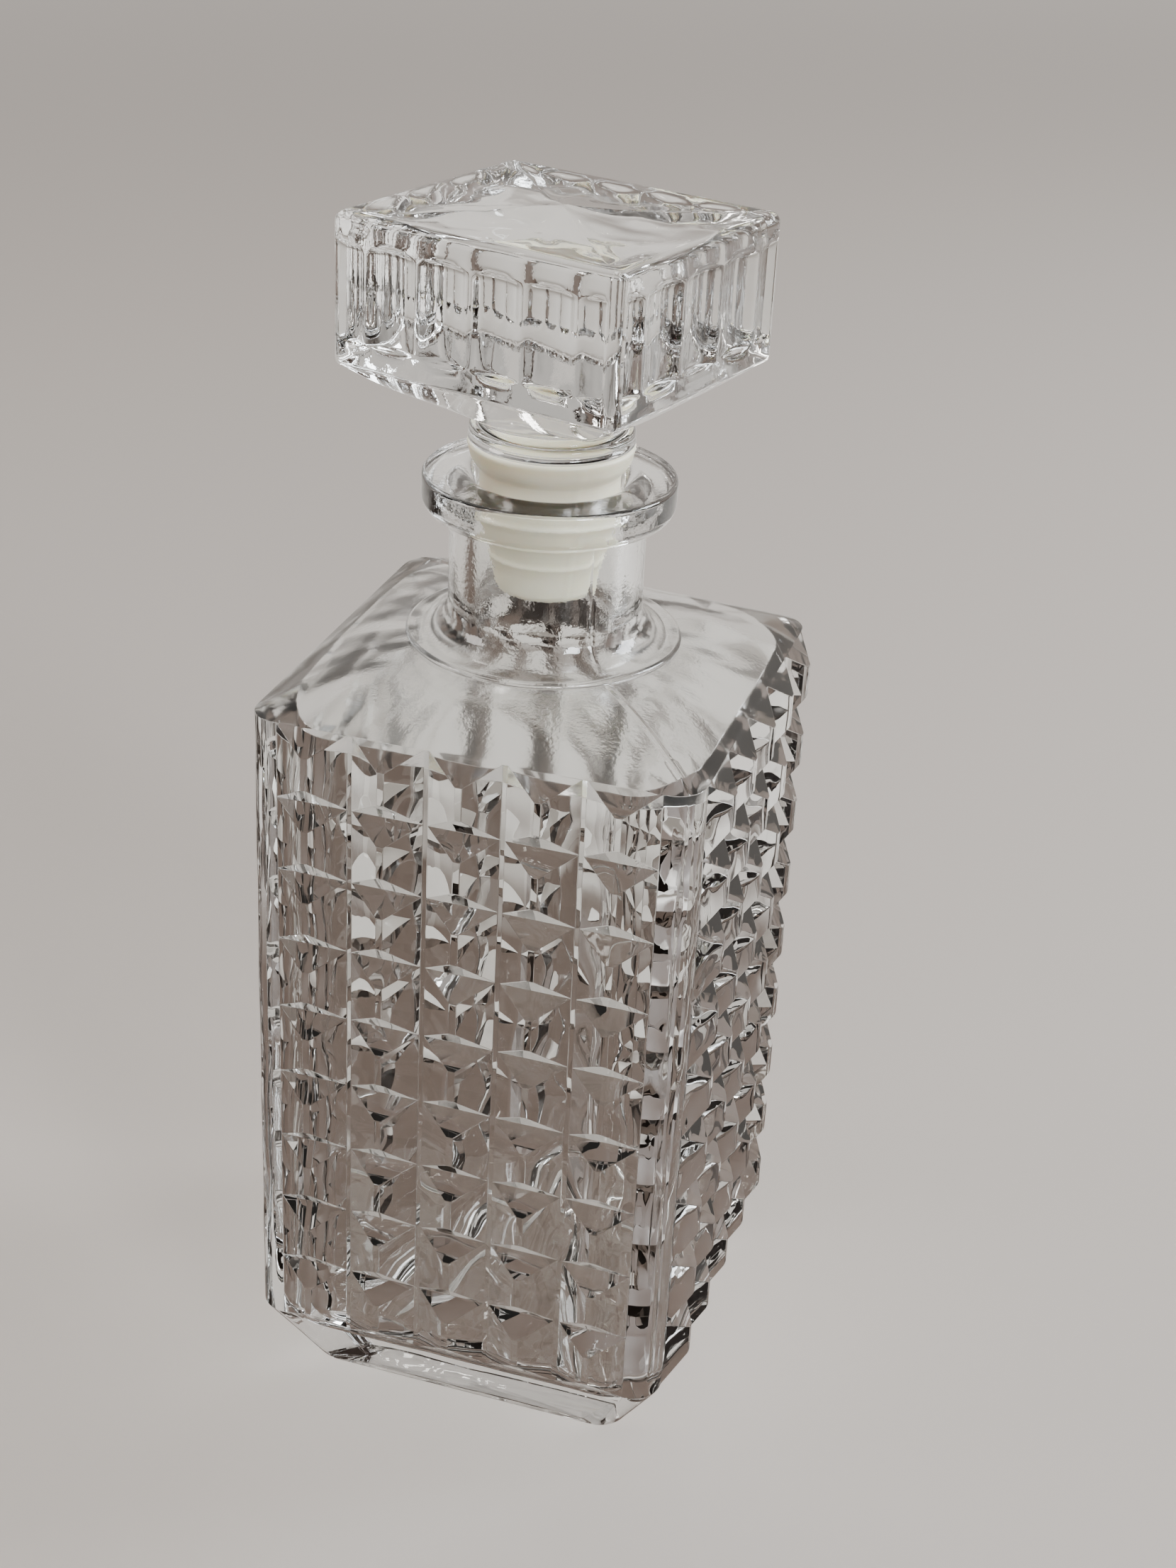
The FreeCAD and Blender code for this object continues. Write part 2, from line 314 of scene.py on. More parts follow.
# --- Bottle ---------------------------------------------------------------------------------------
# One heavy piece of clear pressed glass: four walls of hip-roof studs in rows and columns, plain
# rounded corners, a bevelled heel, and a smooth shoulder up to a ring, a round neck and a flat lip.
# Its cavity was blown, so the inner wall only follows the studs loosely.
columns = 5
rows = 9
column_pitch = 14.4
row_pitch = 14.7
groove_depth = 3.6
ridge_flat = 1.3
groove_strip = 0.45
hip_run = 4.1
corner_round = 5.7
heel_height = 17.85
foot_half = 32.5
foot_corner = 5.0
bevel_end = 1.6
heel_wave = 0.12
column_steps = 8
row_steps = 6
corner_steps = 12
face_half = columns * column_pitch / 2
floor_half = face_half + corner_round
body_top = heel_height + rows * row_pitch
quarter = columns * column_steps + corner_steps
around = 4 * quarter
across_stud = np.linspace(groove_strip, column_pitch - groove_strip, column_steps - 1)
column_places = np.concatenate([[0], across_stud])
side_places = np.concatenate([c * column_pitch + column_places for c in range(columns)])
side_places /= columns * column_pitch


def square_loop(half, corner):
    flat = half - corner
    points = []
    outwards = []
    for k in range(4):
        turn = np.array([[math.cos(k * math.pi / 2), -math.sin(k * math.pi / 2)],
                         [math.sin(k * math.pi / 2), math.cos(k * math.pi / 2)]])
        for i in range(columns * column_steps):
            across = -flat + 2 * flat * side_places[i]
            points.append(turn @ (across, -half))
            outwards.append(turn @ (0, -1))
        for i in range(corner_steps):
            a = math.pi / 2 * i / corner_steps
            points.append(turn @ (flat + corner * math.sin(a), -flat - corner * math.cos(a)))
            outwards.append(turn @ (math.sin(a), -math.cos(a)))
    return np.array(points), np.array(outwards)


steps = np.arange(around)
place_in_quarter = np.tile(np.concatenate([columns * column_steps * side_places,
                                           np.arange(columns * column_steps, quarter)]), 4)
side_middle = columns * column_steps / 2
places = steps // quarter * quarter + place_in_quarter
angles = (places - side_middle) * 2 * math.pi / around - math.pi / 2
circle = np.stack([np.cos(angles), np.sin(angles)], 1)
wall_square, wall_outwards = square_loop(floor_half, corner_round)
inner_corner = 9.0
wall_thickness = 5.6
inner_half = floor_half - wall_thickness
inner_square, inner_outwards = square_loop(inner_half, inner_corner)

# Each stud pulls the skin of the glass above and behind it into a soft fold.
on_side = place_in_quarter <= columns * column_steps
side_folds = np.cos((place_in_quarter - side_middle) * 2 * math.pi / column_steps)
corner_folds = -np.cos((place_in_quarter - columns * column_steps) * 2 * math.pi / corner_steps)
folds = np.where(on_side, side_folds, corner_folds)


def unevenness(points, size, seed):
    return np.array([noise.noise(Vector(p) / size + Vector((seed, 0, 0))) for p in points])


def level_loop(xy, z):
    return np.concatenate([xy, np.full((len(xy), 1), z)], 1)


def arc(centre_r, centre_z, radius, start, end, count):
    turns = np.radians(np.linspace(start, end, count + 1))
    return [(centre_r + radius * math.cos(a), centre_z + radius * math.sin(a)) for a in turns]


def skin_loops(mesh_points, mesh_faces, loops, cap):
    first = len(mesh_points)
    count = len(loops[0])
    for loop in loops:
        mesh_points.extend(map(tuple, loop))
    for j in range(len(loops) - 1):
        low = first + j * count
        for i in range(count):
            following = (i + 1) % count
            mesh_faces.append((low + i, low + following, low + count + following, low + count + i))
    if cap:
        mesh_points.append(tuple(np.mean(loops[-1], 0)))
        last = first + (len(loops) - 1) * count
        for i in range(count):
            mesh_faces.append((last + i, last + (i + 1) % count, len(mesh_points) - 1))


# Heel, foot and the shallow recess under it, from the lowest studs down to the middle of the base.
foot_square, foot_outwards = square_loop(foot_half, foot_corner)
recess_inset = 4.0
heel_loops = []
for z in np.linspace(heel_height, bevel_end, 9):
    share = (heel_height - z) / heel_height
    loop = level_loop(wall_square * (1 - share) + foot_square * share, z)
    if z < heel_height:
        loop[:, :2] += wall_outwards * (heel_wave * unevenness(loop, 11.0, 3))[:, None]
    heel_loops.append(loop)
for inset, z in ((-0.45, 0.95), (0.0, 0.42), (0.7, 0.1), (1.5, 0.0), (recess_inset, 0.0)):
    heel_loops.append(level_loop(foot_square - foot_outwards * inset, z))
for share, z in ((0.95, 0.25), (0.91, 0.8), (0.87, 1.2), (0.74, 1.25), (0.61, 1.3), (0.48, 1.35),
                 (0.35, 1.4), (0.2, 1.45)):
    heel_loops.append(level_loop((foot_square - foot_outwards * recess_inset) * share, z))

# Shoulder, ring, neck, lip, mouth, bore and cavity, from the highest studs to the inside floor.
shoulder_rise = 6.8
shoulder_curve = 1.75
fold_height = 0.06
shoulder_wave = 0.45
ring_radius = 25.7
ring_top = 158.15
neck_radius = 18.0
flare = 6.2
lip_radius = 23.2
lip_top = 188.55
lip_edge = 0.9
bore_radius = 13.2
mouth_round = 3.4
seam_step = columns * column_steps + corner_steps // 2
seam = np.where(steps % (2 * quarter) == seam_step, 1.0, 0.0)
seam_height = 0.22
neck_seam = 0.10
seam_end = 184
neck_wave = 0.10
neck_inset = 0.05

upper_loops = []
shoulder_levels = 26
for j in range(shoulder_levels):
    share = j / shoulder_levels
    rise_share = 1 - (1 - share) ** shoulder_curve
    xy = wall_square * (1 - share) + circle * (ring_radius - 0.4) * share
    loop = level_loop(xy, body_top + shoulder_rise * rise_share)
    if j:
        middle_share = math.sin(math.pi * share) ** 0.7
        waves = fold_height * folds * (1 - share) + shoulder_wave * unevenness(loop, 17.0, 11)
        loop[:, 2] += middle_share * waves + seam_height * seam
    upper_loops.append(loop)
profile = [(ring_radius - 0.4, body_top + shoulder_rise)]
profile += [(ring_radius - 0.12, ring_top - 0.98)]
profile += arc(ring_radius - 0.9, ring_top - 0.9, 0.9, 8, 90, 6)
profile += arc(neck_radius + flare, ring_top + flare, flare, 270, 180, 12)
profile += [(neck_radius, z) for z in np.linspace(166.0, 178.0, 8)]
profile += arc(neck_radius + 1.5, 179.6, 1.5, 180, 100, 5)
profile += arc(lip_radius - 3.2, 184.3, 3.2, -72, 0, 8)
profile += [(lip_radius, 185.6), (lip_radius, 186.8)]
profile += arc(lip_radius - lip_edge, lip_top - lip_edge, lip_edge, 0, 90, 6)
profile += [(21.0, lip_top), (19.3, lip_top), (17.8, lip_top - 0.02)]
profile += arc(bore_radius + mouth_round, lip_top - mouth_round, mouth_round, 90, 180, 10)
for radius, z in profile:
    loop = level_loop(circle * radius, z)
    waver = neck_wave * unevenness(loop, 12.0, 7) + neck_seam * seam * (z < seam_end)
    loop[:, :2] += circle * (waver - neck_inset)[:, None]
    upper_loops.append(loop)
throat_flare = 7.5
bore_play = 0.08
bore_wave = 0.16
bore_profile = [(bore_radius, z) for z in np.linspace(183.0, 160.0, 12)]
bore_profile += arc(bore_radius + throat_flare, 158.25, throat_flare, 180, 270, 10)
for radius, z in bore_profile:
    loop = level_loop(circle * radius, z)
    roughness = bore_wave * min(1, (185 - z) / 15) * unevenness(loop, 9.0, 5) ** 2
    loop[:, :2] += circle * (bore_play + roughness)[:, None]
    upper_loops.append(loop)
inner_top = 144.95
inner_rise = 5.8
inner_curve = 1.7
inner_fold = 0.05
inner_wave = 0.6
inner_levels = 16
for j in range(1, inner_levels):
    share = 1 - j / inner_levels
    xy = inner_square * (1 - share) + circle * (bore_radius + throat_flare) * share
    loop = level_loop(xy, inner_top + inner_rise * (1 - (1 - share) ** inner_curve))
    middle_share = math.sin(math.pi * share)
    loop[:, 2] += middle_share * (inner_fold * folds + inner_wave * unevenness(loop, 15.0, 23))
    upper_loops.append(loop)
inner_floor = 14.0
floor_round = 6.0
near_corner = np.clip((np.abs(inner_square).min(1) - 18.0) / 8.0, 0, 1)
cavity_levels = 76
follow_depth = 0.14
blown_wave = 0.35
blown_grain = 0.04
corner_wave = 0.5
floor_wave = 0.5
floor_edge_wave = 0.6
floor_corner = 5.0
floor_crown = 1.4
tangent = np.sum(inner_square * np.abs(inner_outwards[:, ::-1]), 1)
for z in np.linspace(inner_top, inner_floor + floor_round, cavity_levels):
    loop = level_loop(inner_square, z)
    end_fade = min(1, (inner_top - z) / 8)
    follow = 0.5 * (np.cos(2 * math.pi * tangent / column_pitch)
                    - math.cos(2 * math.pi * (z - heel_height) / row_pitch))
    swell = follow_depth * follow + blown_wave * unevenness(loop, 21.0, 31)
    swell += blown_grain * unevenness(loop, 6.0, 37)
    swell += corner_wave * near_corner * unevenness(loop, 7.5, 47)
    loop[:, :2] += inner_outwards * (swell * end_fade)[:, None]
    upper_loops.append(loop)
for a in np.radians(np.linspace(12, 90, 8)):
    inset = floor_corner * (1 - math.cos(a))
    z = inner_floor + floor_round * (1 - math.sin(a))
    loop = level_loop(inner_square - inner_outwards * inset, z)
    loop[:, :2] += inner_outwards * (floor_edge_wave * unevenness(loop, 8.0, 41))[:, None]
    loop[:, 2] += floor_wave * unevenness(loop, 8.0, 43)
    upper_loops.append(loop)
for share in (0.93, 0.84, 0.74, 0.63, 0.52, 0.41, 0.3, 0.19, 0.08):
    xy = (inner_square - inner_outwards * floor_corner) * share
    loop = level_loop(xy, inner_floor + floor_crown * (1 - share * share))
    loop[:, 2] += floor_wave * unevenness(loop, 9.0, 43)
    upper_loops.append(loop)

shell_points = []
shell_faces = []
skin_loops(shell_points, shell_faces, heel_loops, True)
skin_loops(shell_points, shell_faces, upper_loops, True)
band_levels = rows * row_steps
band_wave = 0.22
band_streak = 0.16
for k in range(4):
    first = len(shell_points)
    corner_start = k * quarter + columns * column_steps
    corner_places = [(corner_start + i) % around for i in range(corner_steps + 1)]
    for j in range(band_levels + 1):
        z = heel_height + j * row_pitch / row_steps
        for i, place_index in enumerate(corner_places):
            spot = wall_square[place_index]
            inside = math.sin(math.pi * i / corner_steps) * min(1, j / 3, (band_levels - j) / 3)
            swell = band_wave * noise.noise(Vector((spot[0] / 7, spot[1] / 7, z / 9)))
            swell += band_streak * noise.noise(Vector((i * 0.9, k * 7.3, z / 38)))
            spot = spot + wall_outwards[place_index] * swell * inside
            shell_points.append((spot[0], spot[1], z))
    for j in range(band_levels):
        for i in range(corner_steps):
            low = first + j * (corner_steps + 1) + i
            shell_faces.append((low, low + 1, low + corner_steps + 2, low + corner_steps + 1))

shell_mesh = bpy.data.meshes.new("bottle")
shell_mesh.from_pydata([Vector(p) * mm for p in shell_points], [], shell_faces)
bottle = bpy.data.objects.new("decanter_bottle", shell_mesh)
scene.collection.objects.link(bottle)

# One stud: two slopes up to a narrow ridge, closed by a hip at each end, with half of the flat strip
# of the upright groove on each side.
half_pitch = column_pitch / 2
lower_foot = [(x - half_pitch, 0, 0) for x in column_places[1:]]
right_edge = [(half_pitch, 0, row_pitch * i / row_steps) for i in range(row_steps + 1)]
upper_foot = [(-x, 0, row_pitch) for x, y, z in lower_foot]
left_edge = [(-half_pitch, 0, row_pitch - z) for x, y, z in right_edge]
foot = half_pitch - groove_strip
half_flat = ridge_flat / 2
hip_top = row_pitch - hip_run
ridge = [(-half_flat, -groove_depth, hip_run), (half_flat, -groove_depth, hip_run),
         (half_flat, -groove_depth, hip_top), (-half_flat, -groove_depth, hip_top)]
stud_points = []
stud_faces = []
right_foot = [(foot, 0, 0), (foot, 0, row_pitch)]
left_foot = [(-foot, 0, row_pitch), (-foot, 0, 0)]
for outline in (lower_foot + [ridge[1], ridge[0]], right_foot + [ridge[2], ridge[1]],
                upper_foot + [ridge[3], ridge[2]], left_foot + [ridge[0], ridge[3]], ridge,
                right_edge + [right_foot[1], right_foot[0]], left_edge + [left_foot[1], left_foot[0]]):
    stud_faces.append(tuple(range(len(stud_points), len(stud_points) + len(outline))))
    stud_points.extend(outline)
stud_mesh = bpy.data.meshes.new("stud")
stud_mesh.from_pydata([Vector(p) * mm for p in stud_points], [], stud_faces)
stud = bpy.data.objects.new("stud", stud_mesh)
scene.collection.objects.link(stud)

# The stud is set out in rows and columns on one wall, and the wall is turned to all four sides.
weld_distance = 0.00002
stud_walls = bpy.data.node_groups.new("stud walls", "GeometryNodeTree")
stud_walls.is_modifier = True
sockets = {}
for socket_name, kind in (("Plain Glass", "Geometry"), ("Stud", "Object"), ("Columns", "Int"),
                          ("Rows", "Int"), ("Column Pitch", "Float"), ("Row Pitch", "Float"),
                          ("Wall Distance", "Float"), ("First Row", "Float"), ("Glass", "Material")):
    sockets[socket_name] = stud_walls.interface.new_socket(
        socket_name, in_out="INPUT", socket_type="NodeSocket" + kind)
stud_walls.interface.new_socket("Walls", in_out="OUTPUT", socket_type="NodeSocketGeometry")
nodes = stud_walls.nodes
links = stud_walls.links
given = nodes.new("NodeGroupInput")
result = nodes.new("NodeGroupOutput")


def calculate(tree, operation, first_value, second_value):
    node = tree.nodes.new("ShaderNodeMath")
    node.operation = operation
    for socket, value in zip(node.inputs, (first_value, second_value)):
        if isinstance(value, (int, float)):
            socket.default_value = value
        else:
            tree.links.new(value, socket)
    return node.outputs[0]


def vector_of(tree, x, y, z):
    node = tree.nodes.new("ShaderNodeCombineXYZ")
    for socket, value in zip(node.inputs, (x, y, z)):
        if isinstance(value, (int, float)):
            socket.default_value = value
        else:
            tree.links.new(value, socket)
    return node.outputs[0]


last_column = calculate(stud_walls, "SUBTRACT", given.outputs["Columns"], 1)
row_width = calculate(stud_walls, "MULTIPLY", last_column, given.outputs["Column Pitch"])
first_across = calculate(stud_walls, "MULTIPLY", row_width, -0.5)
wall_back = calculate(stud_walls, "MULTIPLY", given.outputs["Wall Distance"], -1)
row_line = nodes.new("GeometryNodeMeshLine")
links.new(given.outputs["Columns"], row_line.inputs["Count"])
row_start = vector_of(stud_walls, first_across, wall_back, given.outputs["First Row"])
links.new(row_start, row_line.inputs["Start Location"])
links.new(vector_of(stud_walls, given.outputs["Column Pitch"], 0, 0), row_line.inputs["Offset"])
rise_line = nodes.new("GeometryNodeMeshLine")
links.new(given.outputs["Rows"], rise_line.inputs["Count"])
links.new(vector_of(stud_walls, 0, 0, given.outputs["Row Pitch"]), rise_line.inputs["Offset"])
row_copies = nodes.new("GeometryNodeInstanceOnPoints")
links.new(rise_line.outputs["Mesh"], row_copies.inputs["Points"])
links.new(row_line.outputs["Mesh"], row_copies.inputs["Instance"])
set_out = nodes.new("GeometryNodeRealizeInstances")
links.new(row_copies.outputs["Instances"], set_out.inputs["Geometry"])
stud_info = nodes.new("GeometryNodeObjectInfo")
links.new(given.outputs["Stud"], stud_info.inputs["Object"])
wall_of_studs = nodes.new("GeometryNodeInstanceOnPoints")
links.new(set_out.outputs["Geometry"], wall_of_studs.inputs["Points"])
links.new(stud_info.outputs["Geometry"], wall_of_studs.inputs["Instance"])
side_points = nodes.new("GeometryNodeMeshLine")
side_points.inputs["Count"].default_value = 4
side_points.inputs["Offset"].default_value = (0, 0, 0)
side_index = nodes.new("GeometryNodeInputIndex")
side_turn = nodes.new("FunctionNodeEulerToRotation")
quarter_turn = calculate(stud_walls, "MULTIPLY", side_index.outputs[0], math.pi / 2)
links.new(vector_of(stud_walls, 0, 0, quarter_turn), side_turn.inputs[0])
four_walls = nodes.new("GeometryNodeInstanceOnPoints")
links.new(side_points.outputs["Mesh"], four_walls.inputs["Points"])
links.new(wall_of_studs.outputs["Instances"], four_walls.inputs["Instance"])
links.new(side_turn.outputs[0], four_walls.inputs["Rotation"])
together = nodes.new("GeometryNodeJoinGeometry")
links.new(given.outputs["Plain Glass"], together.inputs[0])
links.new(four_walls.outputs["Instances"], together.inputs[0])
made_real = nodes.new("GeometryNodeRealizeInstances")
links.new(together.outputs[0], made_real.inputs["Geometry"])
welded = nodes.new("GeometryNodeMergeByDistance")
welded.inputs["Distance"].default_value = weld_distance
links.new(made_real.outputs["Geometry"], welded.inputs["Geometry"])
painted = nodes.new("GeometryNodeSetMaterial")
links.new(welded.outputs["Geometry"], painted.inputs["Geometry"])
links.new(given.outputs["Glass"], painted.inputs["Material"])
links.new(painted.outputs["Geometry"], result.inputs[0])

bottle_glass = pressed_glass("bottle_glass", (0.965, 0.972, 0.962, 1), (0.80, 0.80, 0.79, 1),
                             {"Ripple Size": 90.0, "Ripple Depth": 0.08, "Peel Size": 1300.0,
                              "Peel Depth": 0.14, "Peel Floor": 0.148, "Peel Top": 0.156,
                              "Haze": 0.015, "Satin": 0.11, "Satin Floor": 0.1455,
                              "Satin Top": 0.158})
studs = bottle.modifiers.new("studs", "NODES")
studs.node_group = stud_walls
for socket_name, value in (("Stud", stud), ("Columns", columns), ("Rows", rows),
                           ("Column Pitch", column_pitch * mm), ("Row Pitch", row_pitch * mm),
                           ("Wall Distance", floor_half * mm), ("First Row", heel_height * mm),
                           ("Glass", bottle_glass)):
    studs[sockets[socket_name].identifier] = value


def make_plain(piece):
    evaluated = piece.evaluated_get(bpy.context.evaluated_depsgraph_get())
    mesh = bpy.data.meshes.new_from_object(evaluated)
    piece.modifiers.clear()
    piece.data = mesh


def close_and_smooth(piece):
    bm = bmesh.new()
    bm.from_mesh(piece.data)
    bmesh.ops.remove_doubles(bm, verts=bm.verts, dist=weld_distance)
    bmesh.ops.recalc_face_normals(bm, faces=bm.faces)
    for face in bm.faces:
        face.smooth = True
    bm.to_mesh(piece.data)
    bm.free()


make_plain(bottle)
bpy.data.objects.remove(stud)
close_and_smooth(bottle)

# The mould leaves every edge of the studs a little round.
edge_round = 0.42
sharp_from = math.radians(13.5)
softened = bottle.modifiers.new("soft edges", "BEVEL")
softened.width = edge_round * mm
softened.segments = 3
softened.limit_method = "ANGLE"
softened.angle_limit = sharp_from
softened.harden_normals = True
make_plain(bottle)
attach(bottle, "bottle_body")
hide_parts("bottle")

# --- Stopper --------------------------------------------------------------------------------------
# A solid pressed glass stopper: a square head with concave flutes round its sides between plain
# rims and corner posts, a shallow star on top, a sloping underside, and a stepped flange above the
# tapered stem that the collar grips.
head_length = 58.0
head_width = 54.0
head_turn = math.radians(-15.4)
head_bottom = 208.85
head_height = 26.7
head_top = head_bottom + head_height
post = 2.4
crown = 1.2
flutes_long = 5
flutes_short = 4
flute_depth = 1.35
top_round = 2.0
star_power = 0.7
star_hollow = 1.8
top_wave = 0.6
flute_land = 0.8
flute_steps = 16
flute_floor = 4.3
flute_ceiling = 4.6
post_steps = 6
step_back = 0.35

outline = []
facing = []
hollow = []
for k in range(4):
    side = head_length if k % 2 == 0 else head_width
    across = (head_width if k % 2 == 0 else head_length) / 2
    count = flutes_long if k % 2 == 0 else flutes_short
    run = side - 2 * post
    pitch = run / count
    turn = np.array([[math.cos(k * math.pi / 2), -math.sin(k * math.pi / 2)],
                     [math.sin(k * math.pi / 2), math.cos(k * math.pi / 2)]])
    for x in np.linspace(-run / 2 + step_back, run / 2 - step_back, count * flute_steps + 1):
        from_crest = abs((x + run / 2) % pitch - pitch / 2)
        from_middle = (pitch / 2 - from_crest) / (pitch / 2 - flute_land / 2)
        outline.append(turn @ (x, -across))
        facing.append(turn @ (0, -1))
        hollow.append(max(0, 1 - from_middle ** 2))
    for i in range(post_steps + 1):
        a = math.pi / 2 * i / post_steps
        spot = (side / 2 - post + post * math.sin(a), -across + post - post * math.cos(a))
        outline.append(turn @ spot)
        facing.append(turn @ (math.sin(a), -math.cos(a)))
        hollow.append(0)
outline = np.array(outline)
facing = np.array(facing)
hollow = np.array(hollow)


def head_loop(inset, z, scoop):
    loop = level_loop(outline - facing * inset, z)
    loop[:, :2] -= facing * (flute_depth * scoop)[:, None]
    return loop


plain_side = np.zeros(len(outline))
low_end = head_bottom + flute_floor
high_end = head_top - flute_ceiling
arch = 2.0
ledge = 1.0
stopper_loops = []
top_shares = (0.03, 0.1, 0.18, 0.27, 0.36, 0.45, 0.54, 0.62, 0.70, 0.77, 0.83, 0.88, 0.92)
for share in top_shares:
    xy = (outline - facing * top_round) * share
    p = xy / np.array([head_length / 2 - top_round, head_width / 2 - top_round])
    u = np.abs(p[:, 0] + p[:, 1]) / 2
    v = np.abs(p[:, 0] - p[:, 1]) / 2
    star = (u ** star_power + v ** star_power) ** (1 / star_power)
    between = np.clip(1 - 0.62 * star, 0, 1) * np.clip(star, 0, 1) * min(1, (1 - share) * 5)
    height = crown * np.clip(1 - star, 0, 1) ** 1.15 - star_hollow * between
    loop = level_loop(xy, head_top)
    loop[:, 2] += height + (top_wave * unevenness(loop, 5.2, 51) - 0.25) * min(1, (1 - share) * 6)
    stopper_loops.append(loop)
for a in np.radians(np.linspace(90, 0, 7)):
    z = head_top - top_round * (1 - math.sin(a))
    stopper_loops.append(head_loop(top_round * (1 - math.cos(a)), z, plain_side))
side_levels = list(np.linspace(high_end, high_end - arch, 9))
side_levels += list(np.linspace(high_end - arch, low_end + ledge, 18)[1:])
side_levels += list(np.linspace(low_end + ledge, low_end, 6)[1:])
stopper_loops.append(head_loop(0, high_end + 1.2, plain_side))
for z in side_levels:
    shallower = 0
    if z > high_end - arch:
        shallower = 1 - math.sqrt(max(0, 1 - (1 - (high_end - z) / arch) ** 2))
    if z < low_end + ledge:
        shallower = 1 - math.sqrt(max(0, 1 - (1 - (z - low_end) / ledge) ** 2))
    stopper_loops.append(head_loop(0, z, np.clip(hollow - shallower, 0, 1)))
for inset, rise in ((0, 2.6), (0, 1.0), (0.12, 0.5), (0.45, 0.12), (1.0, -0.12)):
    stopper_loops.append(head_loop(inset, head_bottom + rise, plain_side))
outline_turns = np.arctan2(outline[:, 1] / head_width, outline[:, 0] / head_length)
round_outline = np.stack([np.cos(outline_turns), np.sin(outline_turns)], 1)
under_z = 200.45
for share in np.linspace(0.1, 1, 12):
    rounding = outline * 0.62 * (1 - share ** 2) + round_outline * 16.2 * share ** 2
    xy = (outline - facing * 1.0) * (1 - share) + rounding * share
    loop = level_loop(xy, head_bottom - 0.12 - (head_bottom - under_z - 0.12) * share)
    loop[:, 2] += 0.2 * unevenness(loop, 9.0, 57) * math.sin(math.pi * share)
    stopper_loops.append(loop)
stub_profile = [(15.0, 199.95), (13.9, 199.75)] + arc(14.0, 198.95, 0.8, 100, 180, 4)
stub_profile += arc(13.9, 198.2, 0.7, 180, 260, 4) + arc(14.25, 196.75, 0.75, 80, 0, 5)
stub_profile += [(14.98, 196.3), (14.72, 196.1), (14.72, 195.95), (15.0, 195.75)]
stub_profile += arc(14.5, 195.25, 0.6, 0, -90, 5)
stub_profile += [(12.5, 194.64), (11.2, 194.64), (10.86, 194.45)]
stub_profile += [(10.86 - 3.86 * s, 194.45 - 24.6 * s) for s in np.linspace(0.08, 1, 14)]
stub_profile += [(6.6, 169.1), (5.9, 168.75), (4.8, 168.66), (2.5, 168.64)]
for radius, z in stub_profile:
    stopper_loops.append(level_loop(round_outline * radius, z))

stopper_points = []
stopper_faces = []
skin_loops(stopper_points, stopper_faces, stopper_loops, True)
stopper_points.append(tuple(np.mean(stopper_loops[0], 0)))
for i in range(len(outline)):
    stopper_faces.append(((i + 1) % len(outline), i, len(stopper_points) - 1))
stopper_mesh = bpy.data.meshes.new("stopper")
stopper_mesh.from_pydata([Vector(p) * mm for p in stopper_points], [], stopper_faces)
stopper_mesh.transform(Matrix.Rotation(head_turn, 4, "Z"))
stopper = bpy.data.objects.new("stopper_glass", stopper_mesh)
scene.collection.objects.link(stopper)
close_and_smooth(stopper)
stopper_glass = pressed_glass("stopper_glass", (0.968, 0.975, 0.965, 1), (0.82, 0.82, 0.81, 1),
                              {"Ripple Size": 110.0, "Ripple Depth": 0.25, "Peel Size": 1300.0,
                               "Peel Depth": 0.05, "Peel Floor": 0.19, "Peel Top": 0.2, "Haze": 0.015})
stopper_mesh.materials.append(stopper_glass)
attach(stopper, "glass_stopper")
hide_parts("stopper")

# --- Collar ---------------------------------------------------------------------------------------
# A soft ivory plastic sleeve pushed onto the stem. Its brim carries the flange, and three moulded
# ribs round it seal in the bore of the neck.
collar_points = []
collar_faces = []
collar_around = 120
collar_turns = np.linspace(0, 2 * math.pi, collar_around, endpoint=False)
collar_circle = np.stack([np.cos(collar_turns), np.sin(collar_turns)], 1)
collar_top = 194.55
body_radius = 12.78
outer = [(10.99, collar_top), (12.5, collar_top), (14.6, collar_top), (15.1, collar_top - 0.12),
         (15.2, collar_top - 0.5), (15.05, 193.6), (14.75, 192.2), (14.5, 191.5), (13.9, 190.5),
         (13.25, 189.9), (12.9, 189.2), (body_radius, 188.0)]
ribs = 3
rib_top = 182.75
rib_pitch = 4.6
seal_radius = 13.1
taper = 0.26
for i in range(ribs):
    z = rib_top - rib_pitch * i
    body = body_radius - taper * (rib_top - z)
    edge = seal_radius if i == 0 else body + 0.2
    outer += [(body, z + 1.6), (body, z + 1.15), (edge - 0.1, z + 0.9), (edge, z + 0.6),
              (edge - 0.1, z + 0.3), (body - 0.2, z)]
outer += [(9.8, 171.0), (9.3, 168.6), (8.95, 167.7), (8.2, 167.1), (6.0, 166.97), (2.0, 166.97)]
inner = [(2.0, 168.5), (6.0, 168.5), (7.05, 168.55), (7.4, 170.0), (8.5, 177.5), (9.7, 185.6),
         (10.97, 194.2)]
parting_steps = [103, 43]
parting_line = np.zeros(collar_around)
parting_line[parting_steps] = 0.09
collar_wave = 0.05
collar_play = 0.03
collar_loops = []
for radius, z in outer:
    loop = level_loop(collar_circle * radius, z)
    waver = collar_wave * unevenness(loop, 5.0, 61) - collar_play + parting_line
    loop[:, :2] += collar_circle * waver[:, None]
    collar_loops.append(loop)
skin_loops(collar_points, collar_faces, collar_loops, True)
inner_loops = [level_loop(collar_circle * radius, z) for radius, z in reversed(inner)]
inner_loops.insert(0, collar_loops[0])
skin_loops(collar_points, collar_faces, inner_loops, True)
collar_mesh = bpy.data.meshes.new("collar")
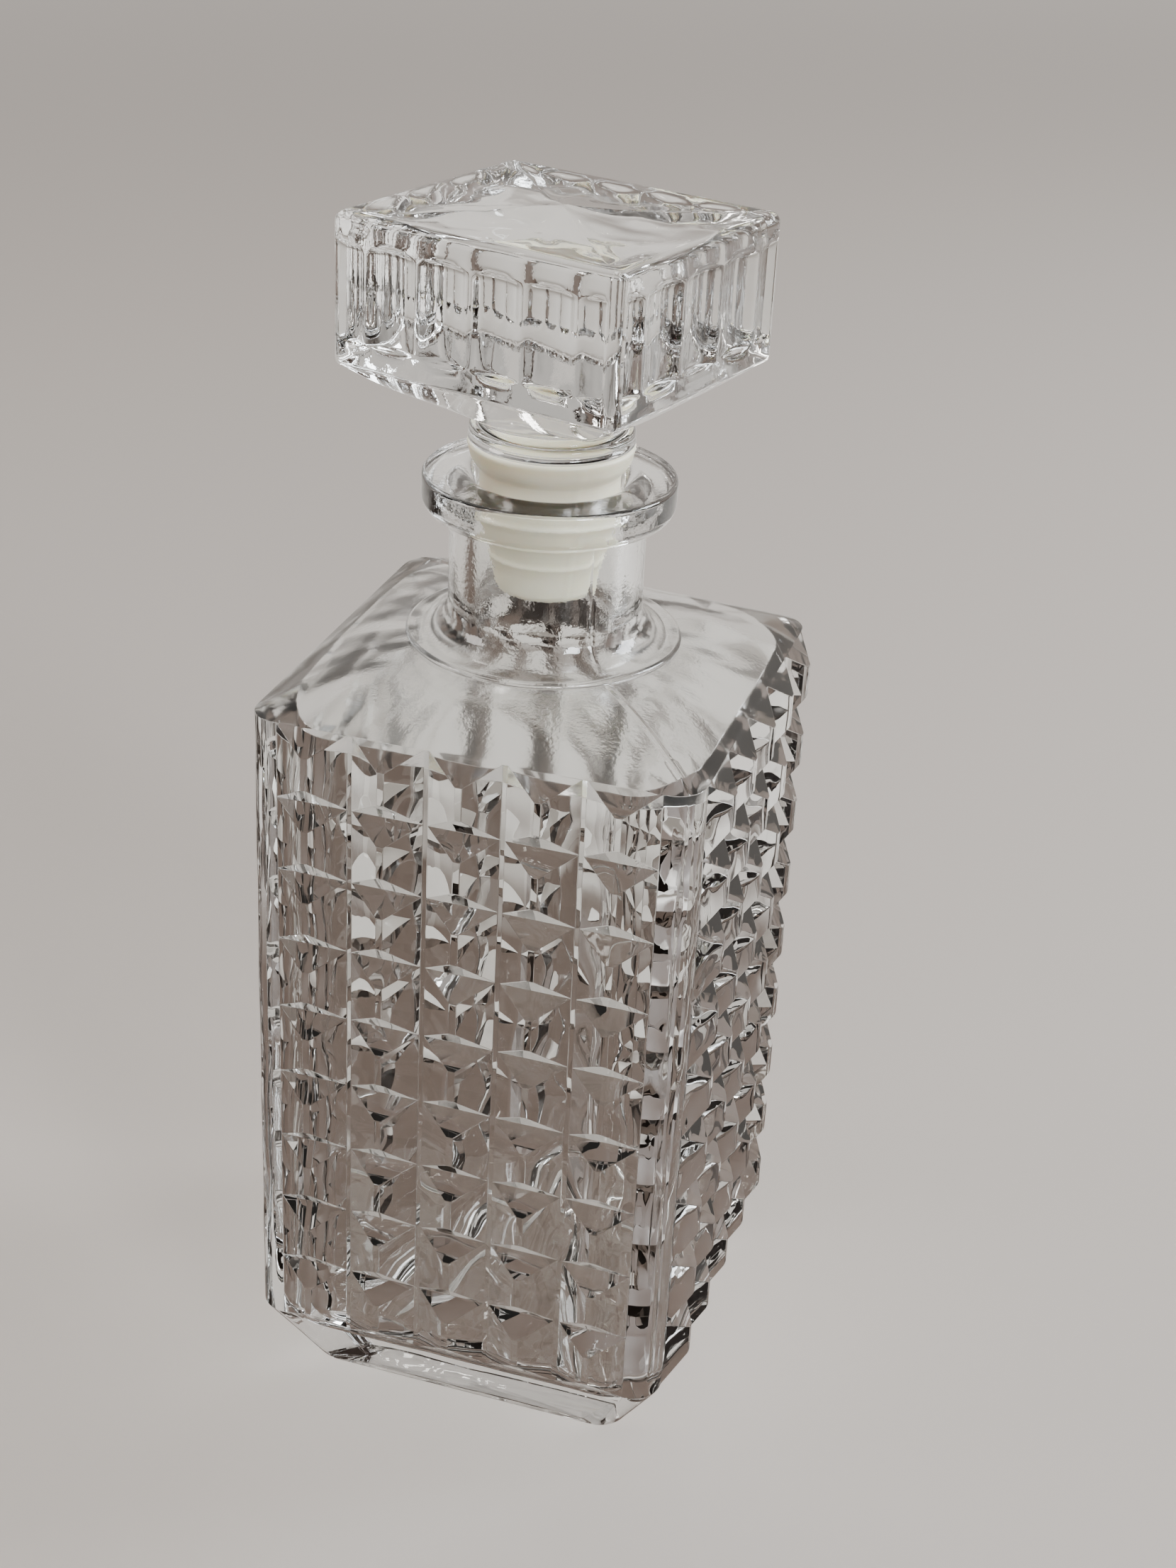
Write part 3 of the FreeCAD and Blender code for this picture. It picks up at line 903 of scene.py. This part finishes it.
collar_mesh.from_pydata([Vector(p) * mm for p in collar_points], [], collar_faces)
collar = bpy.data.objects.new("collar_sleeve", collar_mesh)
scene.collection.objects.link(collar)
close_and_smooth(collar)

collar_plastic = bpy.data.materials.new("collar_plastic")
collar_plastic.use_nodes = True
nodes = collar_plastic.node_tree.nodes
links = collar_plastic.node_tree.links
shader = nodes["Principled BSDF"]
shader.inputs["Subsurface Weight"].default_value = 0.35
shader.inputs["Subsurface Radius"].default_value = (0.004, 0.003, 0.002)
shader.inputs["Subsurface Scale"].default_value = 1.0
place = nodes.new("ShaderNodeTexCoord")
cloud = nodes.new("ShaderNodeTexNoise")
cloud.inputs["Scale"].default_value = 130.0
cloud.inputs["Detail"].default_value = 3.0
links.new(place.outputs["Object"], cloud.inputs["Vector"])
ivory = nodes.new("ShaderNodeMix")
ivory.data_type = "RGBA"
ivory.inputs["A"].default_value = (0.76, 0.71, 0.54, 1)
ivory.inputs["B"].default_value = (0.83, 0.79, 0.64, 1)
links.new(cloud.outputs["Fac"], ivory.inputs["Factor"])
links.new(ivory.outputs["Result"], shader.inputs["Base Color"])
gloss = nodes.new("ShaderNodeMapRange")
gloss.inputs["To Min"].default_value = 0.30
gloss.inputs["To Max"].default_value = 0.50
links.new(cloud.outputs["Fac"], gloss.inputs["Value"])
links.new(gloss.outputs["Result"], shader.inputs["Roughness"])
stretch = nodes.new("ShaderNodeMapping")
stretch.inputs["Scale"].default_value = (60, 60, 1800)
links.new(place.outputs["Object"], stretch.inputs["Vector"])
tool_marks = nodes.new("ShaderNodeTexNoise")
tool_marks.inputs["Scale"].default_value = 1.0
links.new(stretch.outputs["Vector"], tool_marks.inputs["Vector"])
marks = nodes.new("ShaderNodeBump")
marks.inputs["Strength"].default_value = 0.25
marks.inputs["Distance"].default_value = 0.0002
links.new(tool_marks.outputs["Fac"], marks.inputs["Height"])
links.new(marks.outputs["Normal"], shader.inputs["Normal"])
collar_mesh.materials.append(collar_plastic)
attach(collar, "seal")
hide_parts("stopper_collar")
